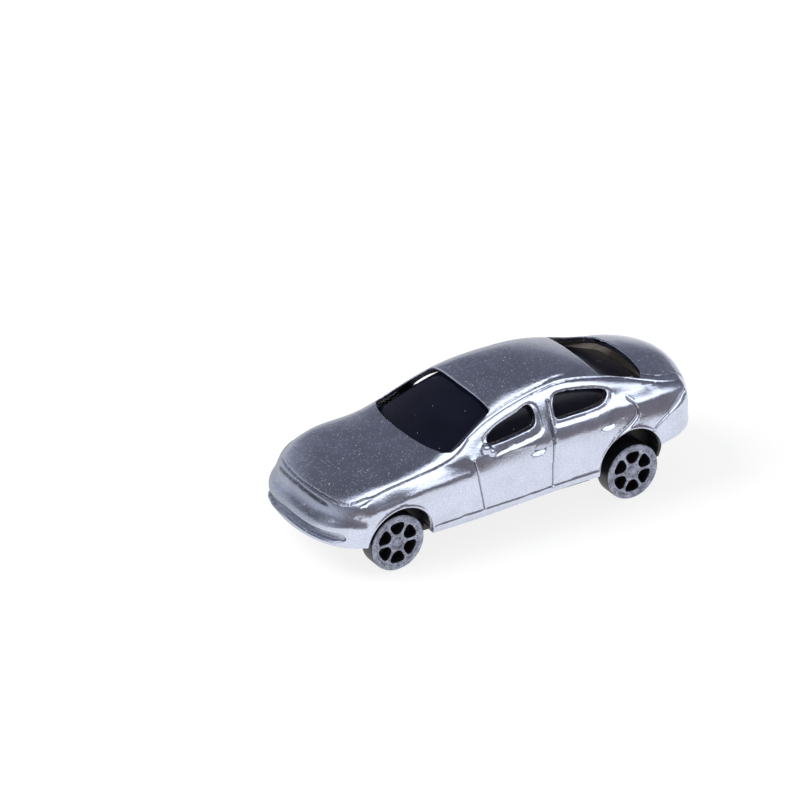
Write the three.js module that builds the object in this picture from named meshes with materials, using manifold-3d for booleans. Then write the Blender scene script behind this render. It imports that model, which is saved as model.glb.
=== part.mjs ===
// A small free-wheeling toy saloon car, modelled as the pieces it is put together from.
//
// Sizes are in millimetres. The car faces -Y, +X is its left side and +Z is up. The origin is on
// the ground, under the middle of the car's length and width.
//
// The bright shell, the dark cabin insert behind its window openings and the black chassis all
// follow one body form. That form is a function of a point, negative inside and close to the
// distance from the surface, so a wall is the space between two of its levels.

import * as THREE from 'three';
import { mergeVertices } from 'three/addons/utils/BufferGeometryUtils.js';
import Module from 'manifold-3d';

const wasm = await Module();
wasm.setup();

// ---------------------------------------------------------------- driving dimensions

const WHEEL_RADIUS = 4.6;
const WHEEL_WIDTH = 3.2;
const WHEEL_FACE_X = 12.0;
const FRONT_AXLE_Y = -22.0;
const REAR_AXLE_Y = 20.3;
const AXLE_RADIUS = 0.7;
const GAP = 0.3;

const SHELL_WALL = 1.0;
const INSERT_DEPTH = 1.45;
const INSERT_WALL = 0.9;
const INSERT_BOTTOM = 14.2;
const INSERT_FRONT_Y = -17.4;
const INSERT_REAR_Y = 27.2;

const FRONT_ARCH = { y: -21.6, z: 5.3, radius: 5.4 };
const REAR_ARCH = { y: 19.5, z: 6.8, radius: 5.7 };

const FLOOR_BOTTOM = 3.6;
const FLOOR_THICKNESS = 1.3;
const RIM_BOTTOM = 5.0;
const RIM_TOP = 6.2;
const CHASSIS_DEPTH = 1.4;
const PAN_DEPTH = 2.9;

const SCREW_STATIONS = { front: -28.3, rear: 29.6 };
const SCREW_RADIUS = 0.6;
const SCREW_LENGTH = 5.5;
const POST_RADIUS = 1.9;

// ---------------------------------------------------------------- materials

const brightPlate = new THREE.MeshStandardMaterial({
  color: 0xc9cede, roughness: 0.22, metalness: 1.0,
});
const darkGloss = new THREE.MeshStandardMaterial({
  color: 0x0c0e1c, roughness: 0.12, metalness: 0.0,
});
const blackPlastic = new THREE.MeshStandardMaterial({
  color: 0x121318, roughness: 0.5, metalness: 0.0,
});
const wheelPlastic = new THREE.MeshStandardMaterial({
  color: 0x6e7388, roughness: 0.4, metalness: 0.6,
});
const steel = new THREE.MeshStandardMaterial({
  color: 0xb4b6ba, roughness: 0.3, metalness: 1.0,
});

// ---------------------------------------------------------------- the body form

// Each table is a smooth curve through a few points: [place along the car or up it, value].
const BONNET_TO_BOOT_HEIGHT = [
  [-34.9, 11.0], [-32.9, 12.9], [-29.4, 14.4], [-24.4, 15.4], [-14.4, 16.6], [-0.4, 17.6],
  [13.6, 18.6], [23.6, 19.0], [28.6, 18.7], [33.6, 17.3], [36.6, 16.0],
];
const TOP_CROWN = [[-34.4, 0.035], [-28.4, 0.016], [-14.4, 0.012], [23.6, 0.018], [33.6, 0.03]];
const HALF_WIDTH = [
  [-36.4, 9.5], [-33.4, 11.3], [-29.4, 12.3], [-24.4, 12.75], [-14.4, 12.95], [-0.4, 13.0],
  [15.6, 12.95], [23.6, 12.8], [29.6, 12.1], [34.6, 10.6], [37.6, 9.0],
];
const FLANK_SECTION = [
  [3.5, -1.0], [5.5, -0.45], [8.0, -0.08], [10.5, 0.0], [12.5, -0.1], [14.5, -0.55],
  [17.0, -1.7], [19.0, -3.2],
];
const NOSE_LINE = [
  [4.0, -33.0], [6.0, -33.8], [8.5, -34.2], [11.0, -33.7], [13.0, -32.7], [15.0, -30.4],
];
const TAIL_LINE = [
  [4.0, 31.8], [7.0, 32.9], [11.0, 33.6], [14.0, 34.0], [16.5, 34.2], [18.5, 34.2],
];
const SILL_HEIGHT = [
  [-34.4, 6.2], [-27.4, 5.3], [-16.4, 4.8], [-8.4, 5.0], [-0.4, 5.5], [7.6, 6.0], [15.6, 6.3],
  [21.6, 7.8], [26.6, 8.5], [33.6, 9.2],
];
const CABIN_HALF_WIDTH = [
  [-16.4, 9.6], [-11.4, 11.0], [-4.4, 12.1], [4.6, 12.4], [13.6, 12.2], [21.6, 11.2], [29.6, 9.8],
];
const ROOF_HEIGHT = [
  [-8.4, 21.2], [-3.4, 22.2], [2.6, 22.9], [7.6, 23.0], [13.6, 22.5], [19.6, 21.2], [24.6, 19.8],
];
const BELT_HEIGHT = 15.0;
const CABIN_FLOOR = 12.0;
const CABIN_END = 30.5;
const UNDERSIDE = -1.0;

function valueAt(table, place) {
  const last = table.length - 1;
  if (place <= table[0][0]) {
    return table[0][1];
  }
  if (place >= table[last][0]) {
    return table[last][1];
  }
  let i = 0;
  while (place > table[i + 1][0]) {
    i += 1;
  }
  const rise = (k) => (table[k + 1][1] - table[k][1]) / (table[k + 1][0] - table[k][0]);
  const slope = (k) => {
    if (k === 0) {
      return rise(0);
    }
    if (k === last) {
      return rise(last - 1);
    }
    const before = table[k][0] - table[k - 1][0];
    const after = table[k + 1][0] - table[k][0];
    return (after * rise(k - 1) + before * rise(k)) / (before + after);
  };
  const width = table[i + 1][0] - table[i][0];
  const s = (place - table[i][0]) / width;
  return (2 * s ** 3 - 3 * s ** 2 + 1) * table[i][1]
    + (s ** 3 - 2 * s ** 2 + s) * width * slope(i)
    + (3 * s ** 2 - 2 * s ** 3) * table[i + 1][1]
    + (s ** 3 - s ** 2) * width * slope(i + 1);
}

// Larger of two values, with the corner between them rounded over a width.
function roundMax(a, b, width) {
  const overlap = Math.max(width - Math.abs(a - b), 0) / width;
  return Math.max(a, b) + overlap ** 3 * width / 6;
}

function roundMin(a, b, width) {
  return -roundMax(-a, -b, width);
}

// Bonnet, flanks and boot, up to the belt line.
function lowerForm(x, y, z) {
  const flank = 0.97 * (Math.abs(x) - valueAt(HALF_WIDTH, y) - valueAt(FLANK_SECTION, z));
  const top = 0.95 * (z - valueAt(BONNET_TO_BOOT_HEIGHT, y) + valueAt(TOP_CROWN, y) * x * x);
  const nose = 0.93 * (valueAt(NOSE_LINE, z) + 0.018 * x ** 2 + 0.00004 * x ** 4 - y);
  const tail = 0.93 * (y - valueAt(TAIL_LINE, z) + 0.016 * x ** 2 + 0.00003 * x ** 4);
  return roundMax(roundMax(roundMax(flank, top, 4), nose, 5), tail, 4);
}

// Windscreen, roof, side glass and rear window, above the belt line.
function cabinForm(x, y, z) {
  const above = Math.max(z - BELT_HEIGHT, 0);
  const side = 0.87 * (Math.abs(x) - valueAt(CABIN_HALF_WIDTH, y) + 0.5 * above + 0.02 * above ** 2);
  const roof = 0.98 * (z - valueAt(ROOF_HEIGHT, y) + 0.017 * x * x);
  const windscreen = 0.42 * (2.05 * (z - 16.2) + 0.022 * x * x - (y + 15.0));
  const rearWindow = 0.34 * (2.7 * (z - 18.8) + 0.02 * x * x + (y - 24.2));
  const rounded = roundMax(roundMax(roundMax(side, roof, 3), windscreen, 2.2), rearWindow, 3);
  return Math.max(rounded, CABIN_FLOOR - z, y - CABIN_END);
}

function bodyForm(x, y, z) {
  return Math.max(roundMin(lowerForm(x, y, z), cabinForm(x, y, z), 2), UNDERSIDE - z);
}

// ---------------------------------------------------------------- solids and their joining

function toSolid(geometry) {
  const bare = geometry.index ? geometry.toNonIndexed() : geometry.clone();
  bare.deleteAttribute('normal');
  bare.deleteAttribute('uv');
  const merged = mergeVertices(bare, 1e-4);
  return new wasm.Manifold(new wasm.Mesh({
    numProp: 3,
    vertProperties: new Float32Array(merged.attributes.position.array),
    triVerts: new Uint32Array(merged.index.array),
  }));
}

function toGeometry(solid) {
  const mesh = solid.getMesh();
  const geometry = new THREE.BufferGeometry();
  geometry.setAttribute('position', new THREE.BufferAttribute(mesh.vertProperties, 3));
  geometry.setIndex(new THREE.BufferAttribute(mesh.triVerts, 1));
  geometry.computeVertexNormals();
  return geometry;
}

function block(xRange, yRange, zRange) {
  const size = [xRange, yRange, zRange].map(([low, high]) => high - low);
  const middle = [xRange, yRange, zRange].map(([low, high]) => (low + high) / 2);
  return toSolid(new THREE.BoxGeometry(...size).translate(...middle));
}

// A round bar along X, or along Z, about a centre.
function barAlongX(radius, xRange, y, z, sides) {
  const bar = new THREE.CylinderGeometry(radius, radius, xRange[1] - xRange[0], sides);
  bar.rotateZ(Math.PI / 2).translate((xRange[0] + xRange[1]) / 2, y, z);
  return toSolid(bar);
}

function barAlongZ(radius, x, y, zRange, sides) {
  const bar = new THREE.CylinderGeometry(radius, radius, zRange[1] - zRange[0], sides);
  bar.rotateX(Math.PI / 2).translate(x, y, (zRange[0] + zRange[1]) / 2);
  return toSolid(bar);
}

// A closed outline of straight sides with rounded corners.
function roundedOutline(corners, radius, steps) {
  const shape = new THREE.Shape();
  corners.forEach((corner, i) => {
    const here = new THREE.Vector2(...corner);
    const before = new THREE.Vector2(...corners[(i + corners.length - 1) % corners.length]);
    const after = new THREE.Vector2(...corners[(i + 1) % corners.length]);
    const reach = (other) => Math.min(radius, here.distanceTo(other) / 2);
    const enter = before.clone().sub(here).setLength(reach(before)).add(here);
    const leave = after.clone().sub(here).setLength(reach(after)).add(here);
    if (i === 0) {
      shape.moveTo(enter.x, enter.y);
    } else {
      shape.lineTo(enter.x, enter.y);
    }
    shape.quadraticCurveTo(here.x, here.y, leave.x, leave.y);
  });
  shape.closePath();
  return new THREE.Shape(shape.getPoints(steps));
}

// An outline in the side view, as [y, z] points, pushed through the car's width.
function sidePrism(outline, xRange) {
  const prism = new THREE.ExtrudeGeometry(outline, { depth: xRange[1] - xRange[0], bevelEnabled: false });
  prism.rotateY(Math.PI / 2).rotateX(Math.PI / 2).translate(xRange[0], 0, 0);
  return toSolid(prism);
}

// An outline in the plan view, as [x, y] points, pushed up through a height.
function planPrism(outline, zRange) {
  const prism = new THREE.ExtrudeGeometry(outline, { depth: zRange[1] - zRange[0], bevelEnabled: false });
  return toSolid(prism.translate(0, 0, zRange[0]));
}

// ---------------------------------------------------------------- skins of the body form

const SPINE_HEIGHT = 9.0;
const SPINE_END = 24.0;
const LONGEST_REACH = 45.0;
const BISECTIONS = 26;

// The closed surface on which the form has the value -depth. Spokes leave a spine along the car:
// square to it along its length, and fanned forward or back at its two ends.
function skin(form, depth, lengthSteps, endSteps, roundSteps) {
  const stations = [];
  for (let k = endSteps; k > 0; k -= 1) {
    stations.push({ y: -SPINE_END, tilt: -Math.PI / 2 * k / endSteps });
  }
  for (let k = 0; k <= lengthSteps; k += 1) {
    stations.push({ y: SPINE_END * (2 * k / lengthSteps - 1), tilt: 0 });
  }
  for (let k = 1; k <= endSteps; k += 1) {
    stations.push({ y: SPINE_END, tilt: Math.PI / 2 * k / endSteps });
  }
  const place = ({ y, tilt }, round) => {
    const way = new THREE.Vector3(Math.sin(round) * Math.cos(tilt), Math.sin(tilt),
      Math.cos(round) * Math.cos(tilt));
    let inside = 0;
    let outside = LONGEST_REACH;
    for (let k = 0; k < BISECTIONS; k += 1) {
      const reach = (inside + outside) / 2;
      if (form(way.x * reach, y + way.y * reach, SPINE_HEIGHT + way.z * reach) < -depth) {
        inside = reach;
      } else {
        outside = reach;
      }
    }
    return [way.x * inside, y + way.y * inside, SPINE_HEIGHT + way.z * inside];
  };
  const positions = [];
  const triangles = [];
  positions.push(...place(stations[0], 0));
  for (const station of stations.slice(1, -1)) {
    for (let k = 0; k < roundSteps; k += 1) {
      positions.push(...place(station, 2 * Math.PI * k / roundSteps));
    }
  }
  positions.push(...place(stations[stations.length - 1], 0));
  const rings = stations.length - 2;
  const at = (ring, k) => 1 + ring * roundSteps + (k % roundSteps);
  const tip = 1 + rings * roundSteps;
  for (let k = 0; k < roundSteps; k += 1) {
    triangles.push(0, at(0, k + 1), at(0, k));
    triangles.push(tip, at(rings - 1, k), at(rings - 1, k + 1));
    for (let ring = 0; ring < rings - 1; ring += 1) {
      triangles.push(at(ring, k), at(ring + 1, k + 1), at(ring + 1, k));
      triangles.push(at(ring, k), at(ring, k + 1), at(ring + 1, k + 1));
    }
  }
  const geometry = new THREE.BufferGeometry();
  geometry.setAttribute('position', new THREE.Float32BufferAttribute(positions, 3));
  geometry.setIndex(triangles);
  return toSolid(geometry);
}

// ---------------------------------------------------------------- body shell

const FRONT_WINDOW = [[-5.7, 15.9], [-5.6, 17.7], [1.8, 20.2], [3.7, 20.2], [3.2, 16.8]];
const REAR_WINDOW = [[6.6, 16.8], [7.0, 20.2], [11.4, 20.1], [17.4, 18.6], [15.6, 17.2]];
const WINDSCREEN = [
  [0, -15.0], [5.4, -14.4], [10.6, -12.8], [9.2, -7.6], [8.4, -2.9], [0, -3.9],
];
const REAR_SCREEN = [[0, 16.2], [7.4, 16.6], [7.5, 21.0], [8.4, 24.9], [0, 25.7]];

function mirrored(half) {
  const inner = half.slice(1, -1).reverse().map(([x, y]) => [-x, y]);
  return [...half, ...inner];
}

function sillCut() {
  const edge = [];
  for (let y = -40; y <= 40; y += 4) {
    edge.push(new THREE.Vector2(y, valueAt(SILL_HEIGHT, y)));
  }
  edge.push(new THREE.Vector2(40, UNDERSIDE - 1), new THREE.Vector2(-40, UNDERSIDE - 1));
  return sidePrism(new THREE.Shape(edge), [-16, 16]);
}

// A post hangs from the middle of the shell's wall down to just above the chassis.
function screwPost(y, inWall) {
  return barAlongZ(POST_RADIUS, 0, y, [chassisTop(y) + GAP, 20], 16).intersect(inWall);
}

function mirrorStub(side) {
  const stub = new THREE.SphereGeometry(1, 12, 8).scale(1.0, 1.1, 1.1);
  return toSolid(stub.translate(side * 11.8, -6.3, 16.1));
}

function makeShell() {
  let shell = skin(bodyForm, 0, 24, 8, 40);
  shell = shell.subtract(skin(bodyForm, SHELL_WALL, 18, 6, 28));
  shell = shell.subtract(sillCut());
  for (const arch of [FRONT_ARCH, REAR_ARCH]) {
    shell = shell.subtract(barAlongX(arch.radius, [-16, 16], arch.y, arch.z, 36));
  }
  for (const corners of [FRONT_WINDOW, REAR_WINDOW]) {
    shell = shell.subtract(sidePrism(roundedOutline(corners, 0.9, 3), [-16, 16]));
  }
  for (const corners of [WINDSCREEN, REAR_SCREEN]) {
    shell = shell.subtract(planPrism(roundedOutline(mirrored(corners), 1.4, 3), [12, 30]));
  }
  for (const side of [-1, 1]) {
    shell = shell.add(mirrorStub(side));
  }
  const inWall = skin(bodyForm, SHELL_WALL / 2, 12, 8, 20);
  for (const y of Object.values(SCREW_STATIONS)) {
    const boreTop = screwSeat(y) + SCREW_LENGTH + 2 * GAP;
    const bore = barAlongZ(SCREW_RADIUS + GAP, 0, y, [0, boreTop], 12);
    shell = shell.add(screwPost(y, inWall)).subtract(bore);
  }
  return shell;
}

// ---------------------------------------------------------------- cabin insert

function makeInsert() {
  const room = block([-14, 14], [INSERT_FRONT_Y, INSERT_REAR_Y], [INSERT_BOTTOM, 30]);
  const outer = skin(bodyForm, INSERT_DEPTH, 20, 6, 28).intersect(room);
  const inner = skin(bodyForm, INSERT_DEPTH + INSERT_WALL, 16, 5, 24);
  let insert = outer.subtract(inner);
  for (const side of [-1, 1]) {
    for (const y of [-1.0, 9.0]) {
      const leg = [side * 9.3, side * 10.4].sort((a, b) => a - b);
      insert = insert.add(block(leg, [y - 1.5, y + 1.5], [RIM_TOP + GAP, INSERT_BOTTOM + 0.8]));
    }
  }
  return insert;
}

// ---------------------------------------------------------------- chassis

// The chassis floor is level between the wheels and rises under both bumpers.
const FLOOR_UNDERSIDE = [
  [-34.0, 5.0], [-26.6, 4.3], [-25.2, 3.6], [24.2, 3.6], [26.0, 7.2], [34.0, 8.4],
];
const WELL_INNER_X = 7.9;
const WELL_WALL = 0.6;
const WELL_OUTER_X = 11.6;
const WELL_EXTRA = 0.5;
const SADDLE_LENGTH = 4.6;
const SADDLE_TOP = 7.0;

function floorUnderside(y) {
  const i = FLOOR_UNDERSIDE.findIndex(([place]) => place > y) - 1;
  const [[y0, z0], [y1, z1]] = FLOOR_UNDERSIDE.slice(i, i + 2);
  return z0 + (z1 - z0) * (y - y0) / (y1 - y0);
}

function screwSeat(y) {
  return floorUnderside(y) - GAP;
}

function chassisTop(y) {
  return Math.max(floorUnderside(y) + FLOOR_THICKNESS, RIM_TOP);
}

function floorPan() {
  const lower = FLOOR_UNDERSIDE.map(([y, z]) => new THREE.Vector2(y, z));
  const upper = FLOOR_UNDERSIDE.map(([y, z]) => new THREE.Vector2(y, z + FLOOR_THICKNESS)).reverse();
  const plate = sidePrism(new THREE.Shape([...lower, ...upper]), [-14, 14]);
  return skin(bodyForm, PAN_DEPTH, 12, 5, 20).intersect(plate);
}

// A rim round the floor fits inside the shell's lower edge.
function rim(envelope) {
  const band = block([-14, 14], [-34, 24.9], [FLOOR_BOTTOM + FLOOR_THICKNESS, RIM_TOP]);
  return envelope.intersect(band).subtract(skin(bodyForm, PAN_DEPTH + 1.0, 12, 5, 20));
}

function wheelWell(arch, side) {
  const radius = arch.radius + WELL_EXTRA;
  const range = (from, to) => [side * from, side * to].sort((a, b) => a - b);
  const shellX = range(WELL_INNER_X - WELL_WALL, WELL_OUTER_X);
  const hollowX = range(WELL_INNER_X, WELL_OUTER_X + 3);
  const drum = barAlongX(radius + WELL_WALL, shellX, arch.y, arch.z, 24);
  const above = block([-16, 16], [arch.y - 9, arch.y + 9], [RIM_BOTTOM, 16]);
  return { drum: drum.intersect(above), hollow: barAlongX(radius, hollowX, arch.y, arch.z, 24) };
}

function makeChassis() {
  const envelope = skin(bodyForm, CHASSIS_DEPTH, 14, 6, 24);
  let chassis = floorPan().add(rim(envelope));
  for (const arch of [FRONT_ARCH, REAR_ARCH]) {
    for (const side of [-1, 1]) {
      const well = wheelWell(arch, side);
      chassis = chassis.add(well.drum.intersect(envelope)).subtract(well.hollow);
    }
  }
  for (const axleY of [FRONT_AXLE_Y, REAR_AXLE_Y]) {
    const half = SADDLE_LENGTH / 2;
    const saddle = block([-7.6, 7.6], [axleY - half, axleY + half], [FLOOR_BOTTOM, SADDLE_TOP]);
    const slotHalf = AXLE_RADIUS + GAP;
    const slot = block([-9, 9], [axleY - slotHalf, axleY + slotHalf], [0, WHEEL_RADIUS]);
    const crown = barAlongX(slotHalf, [-9, 9], axleY, WHEEL_RADIUS, 24);
    chassis = chassis.add(saddle).subtract(slot).subtract(crown);
  }
  for (const y of Object.values(SCREW_STATIONS)) {
    chassis = chassis.subtract(barAlongZ(SCREW_RADIUS + GAP, 0, y, [0, 12], 12));
  }
  return chassis;
}

// ---------------------------------------------------------------- axle keepers

// A keeper is a small clip under the axle: a plate below the floor with a tongue up the slot.
function makeKeeper() {
  const plateTop = FLOOR_BOTTOM - GAP;
  const tongueTop = WHEEL_RADIUS - AXLE_RADIUS - GAP;
  const plate = roundedOutline([[-3.4, -2.2], [3.4, -2.2], [3.4, 2.2], [-3.4, 2.2]], 0.8, 3);
  const tongue = block([-3, 3], [-AXLE_RADIUS, AXLE_RADIUS], [plateTop - 0.2, tongueTop]);
  return planPrism(plate, [plateTop - 0.7, plateTop]).add(tongue);
}

// ---------------------------------------------------------------- wheels and axles

const HUB_RADIUS = 1.55;
const RIM_INNER_RADIUS = 3.62;
const TREAD_CHAMFER = 0.25;
const FACE_THICKNESS = 0.8;
const HOLE_COUNT = 6;
const HOLE_INNER_RADIUS = 1.75;
const HOLE_OUTER_RADIUS = 3.42;
const SPOKE_WIDTH = 0.75;

// The wheel stands on its own X axis, with its outer face at x = 0 and its back at negative x.
function wheelBlank() {
  const back = WHEEL_WIDTH;
  const rim = [
    [0, 0], [WHEEL_RADIUS - TREAD_CHAMFER, 0],
    [WHEEL_RADIUS, TREAD_CHAMFER], [WHEEL_RADIUS, back], [RIM_INNER_RADIUS, back],
    [RIM_INNER_RADIUS, FACE_THICKNESS], [HUB_RADIUS, FACE_THICKNESS], [HUB_RADIUS, back],
    [AXLE_RADIUS + GAP, back], [AXLE_RADIUS + GAP, FACE_THICKNESS], [0, FACE_THICKNESS],
  ];
  const profile = rim.map(([radius, depth]) => new THREE.Vector2(radius, depth));
  return toSolid(new THREE.LatheGeometry(profile, 30).rotateZ(Math.PI / 2));
}

// One hole is a ring sector with its sides parallel to the spokes beside it.
function holePrism(angle) {
  const edge = (radius) => Math.asin(SPOKE_WIDTH / 2 / radius);
  const halfTurn = Math.PI / HOLE_COUNT;
  const innerTurn = halfTurn - edge(HOLE_INNER_RADIUS);
  const outerTurn = halfTurn - edge(HOLE_OUTER_RADIUS);
  const shape = new THREE.Shape();
  shape.absarc(0, 0, HOLE_OUTER_RADIUS, angle - outerTurn, angle + outerTurn, false);
  shape.absarc(0, 0, HOLE_INNER_RADIUS, angle + innerTurn, angle - innerTurn, true);
  const outline = new THREE.Shape(shape.getPoints(3));
  const prism = new THREE.ExtrudeGeometry(outline, { depth: 3, bevelEnabled: false });
  return toSolid(prism.rotateY(Math.PI / 2).translate(-1.5, 0, 0));
}

function makeWheel() {
  let wheel = wheelBlank();
  for (let k = 0; k < HOLE_COUNT; k += 1) {
    wheel = wheel.subtract(holePrism(2 * Math.PI * k / HOLE_COUNT));
  }
  return wheel;
}

function makeAxle() {
  const end = WHEEL_FACE_X - FACE_THICKNESS - GAP;
  const chamfer = 0.15;
  const profile = [
    new THREE.Vector2(0, -end), new THREE.Vector2(AXLE_RADIUS - chamfer, -end),
    new THREE.Vector2(AXLE_RADIUS, -end + chamfer), new THREE.Vector2(AXLE_RADIUS, end - chamfer),
    new THREE.Vector2(AXLE_RADIUS - chamfer, end), new THREE.Vector2(0, end),
  ];
  return toSolid(new THREE.LatheGeometry(profile, 20).rotateZ(Math.PI / 2));
}

// ---------------------------------------------------------------- screws

// A pan-head screw pointing up, with the underside of its head at z = 0.
function makeScrew() {
  const headRadius = 1.4;
  const headHeight = 0.8;
  const profile = [
    [0, -headHeight], [headRadius * 0.6, -headHeight], [headRadius, -headHeight * 0.5],
    [headRadius, 0], [SCREW_RADIUS, 0], [SCREW_RADIUS, SCREW_LENGTH - 0.8], [0, SCREW_LENGTH],
  ];
  const body = new THREE.LatheGeometry(profile.map(([r, z]) => new THREE.Vector2(r, z)), 16);
  let screw = toSolid(body.rotateX(Math.PI / 2));
  for (const turn of [0, Math.PI / 2]) {
    const blade = new THREE.BoxGeometry(0.28, 1.3, 0.8).rotateZ(turn).translate(0, 0, -headHeight);
    screw = screw.subtract(toSolid(blade));
  }
  return screw;
}

// ---------------------------------------------------------------- the car

function piece(name, solid, material) {
  const mesh = new THREE.Mesh(toGeometry(solid), material);
  mesh.name = name;
  return mesh;
}

function wheelset(end, axleY) {
  const set = new THREE.Group();
  set.position.set(0, axleY, WHEEL_RADIUS);
  set.add(piece(`${end}_axle`, makeAxle(), steel));
  for (const [name, side] of [['left', 1], ['right', -1]]) {
    const wheel = piece(`wheel_${end}_${name}`, makeWheel(), wheelPlastic);
    wheel.position.x = side * WHEEL_FACE_X;
    wheel.rotation.z = side > 0 ? 0 : Math.PI;
    set.add(wheel);
  }
  return set;
}

const car = new THREE.Group();
car.add(piece('body_shell', makeShell(), brightPlate));
car.add(piece('cabin_insert', makeInsert(), darkGloss));
car.add(piece('chassis', makeChassis(), blackPlastic));
for (const [end, axleY] of [['front', FRONT_AXLE_Y], ['rear', REAR_AXLE_Y]]) {
  const keeper = piece(`${end}_axle_keeper`, makeKeeper(), blackPlastic);
  keeper.position.y = axleY;
  car.add(keeper);
  car.add(wheelset(end, axleY));
}
for (const [end, y] of Object.entries(SCREW_STATIONS)) {
  const screw = piece(`chassis_screw_${end}`, makeScrew(), steel);
  screw.position.set(0, y, screwSeat(y));
  car.add(screw);
}

export default car;
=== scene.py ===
"""Looks of a small plated toy saloon car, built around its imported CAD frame.

The car faces -Y, +X is its left side and +Z is up. Shapes are worked out in millimetres and
scaled to metres when a mesh is made. Each moulded piece is a form: a function of a point that
is negative inside the solid and close to the distance from its surface. The form is sampled on
a grid, meshed with OpenVDB, and its points are then moved onto the exact surface.
"""

import math

import bpy
import numpy as np
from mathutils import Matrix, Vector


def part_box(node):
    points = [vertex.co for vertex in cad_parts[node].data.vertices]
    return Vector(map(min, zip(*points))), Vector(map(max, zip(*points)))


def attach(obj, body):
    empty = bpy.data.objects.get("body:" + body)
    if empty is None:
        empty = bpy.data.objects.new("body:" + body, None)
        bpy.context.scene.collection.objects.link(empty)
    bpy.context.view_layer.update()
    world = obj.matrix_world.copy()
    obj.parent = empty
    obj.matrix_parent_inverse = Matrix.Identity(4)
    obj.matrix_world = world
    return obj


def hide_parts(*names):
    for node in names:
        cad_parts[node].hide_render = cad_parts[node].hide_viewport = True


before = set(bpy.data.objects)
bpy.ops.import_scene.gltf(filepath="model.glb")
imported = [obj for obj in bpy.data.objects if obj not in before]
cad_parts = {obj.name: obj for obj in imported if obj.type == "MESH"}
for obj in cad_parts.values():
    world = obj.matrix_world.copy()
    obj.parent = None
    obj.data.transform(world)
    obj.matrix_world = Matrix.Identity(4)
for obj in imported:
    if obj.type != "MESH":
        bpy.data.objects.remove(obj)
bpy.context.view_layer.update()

import openvdb
from mathutils import Vector

MM = 0.001

# ------------------------------------------------------------------ sizes taken from the frame


def node_centre(node):
    low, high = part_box(node)
    return (low + high) / 2 / MM


def node_size(node):
    low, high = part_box(node)
    return (high - low) / MM


WHEEL_RADIUS = node_size("wheel_front_left").z / 2
WHEEL_WIDTH = node_size("wheel_front_left").x

# ------------------------------------------------------------------ helpers for forms


CURVE_SAMPLES = 1500


def curve(table):
    """A smooth curve through [place, value] points, level beyond its ends, as a function of place."""
    xs, ys = np.array(table, float).T
    widths = np.diff(xs)
    rises = np.diff(ys) / widths
    inner = (widths[1:] * rises[:-1] + widths[:-1] * rises[1:]) / (widths[1:] + widths[:-1])
    slopes = np.concatenate(([rises[0]], inner, [rises[-1]]))
    places = np.linspace(xs[0], xs[-1], CURVE_SAMPLES)
    i = np.clip(np.searchsorted(xs, places, side="right") - 1, 0, len(xs) - 2)
    s = (places - xs[i]) / widths[i]
    values = ((2 * s ** 3 - 3 * s ** 2 + 1) * ys[i] + (s ** 3 - 2 * s ** 2 + s) * widths[i] * slopes[i]
              + (3 * s ** 2 - 2 * s ** 3) * ys[i + 1] + (s ** 3 - s ** 2) * widths[i] * slopes[i + 1])
    return lambda place: np.interp(place, places, values).astype(np.float32)


class Chart:
    """A field of two coordinates, worked out once on a fine grid and looked up from then on."""

    STEP = 0.05

    def __init__(self, field, low, high):
        self.low = low
        a = np.arange(low[0], high[0] + self.STEP, self.STEP, dtype=np.float32)[:, None]
        b = np.arange(low[1], high[1] + self.STEP, self.STEP, dtype=np.float32)[None, :]
        self.values = field(a, b).astype(np.float32)

    def __call__(self, a, b):
        rows, columns = self.values.shape
        i = np.clip((a - self.low[0]) / self.STEP, 0, rows - 1.01)
        j = np.clip((b - self.low[1]) / self.STEP, 0, columns - 1.01)
        row, column = i.astype(np.int32), j.astype(np.int32)
        u, v = (i - row).astype(np.float32), (j - column).astype(np.float32)
        near = self.values[row, column] * (1 - v) + self.values[row, column + 1] * v
        far = self.values[row + 1, column] * (1 - v) + self.values[row + 1, column + 1] * v
        return near * (1 - u) + far * u


def round_max(a, b, width):
    """The larger of two fields, with the corner between them rounded over a width."""
    overlap = np.maximum(width - np.abs(a - b), 0) / width
    return np.maximum(a, b) + overlap ** 3 * (width / 6)


def round_min(a, b, width):
    return -round_max(-a, -b, width)


def fillet_max(a, b, radius):
    """The larger of two fields, with the corner between them a true arc of a radius."""
    arc = np.hypot(np.maximum(a + radius, 0), np.maximum(b + radius, 0)) - radius
    return arc + np.minimum(np.maximum(a, b) + radius, 0)


def ramp(value, low, high):
    """0 below low, 1 above high, and smooth between them."""
    t = np.clip((value - low) / (high - low), 0, 1)
    return t * t * (3 - 2 * t)


def between(value, low, high, fade):
    """1 from low to high, fading to 0 over a distance outside them."""
    return ramp(value, low - fade, low) * (1 - ramp(value, high, high + fade))


def smooth_path(points, steps=6):
    """Catmull-Rom points along an open path."""
    p = np.array(points, float)
    p = np.vstack([2 * p[0] - p[1], p, 2 * p[-1] - p[-2]])
    t = np.linspace(0, 1, steps, endpoint=False)[:, None]
    spans = []
    for a, b, c, d in zip(p[:-3], p[1:-2], p[2:-1], p[3:]):
        spans.append(0.5 * (2 * b + (c - a) * t + (2 * a - 5 * b + 4 * c - d) * t ** 2
                            + (3 * b - a - 3 * c + d) * t ** 3))
    return np.vstack(spans + [p[-2:-1]])


def smooth_outline(points, steps=5):
    """Points along a closed smooth outline through some given ones."""
    p = np.array(points, float)
    closed = smooth_path(np.vstack([p[-2:], p, p[:2]]), steps)
    return closed[2 * steps:2 * steps + len(p) * steps]


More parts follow.
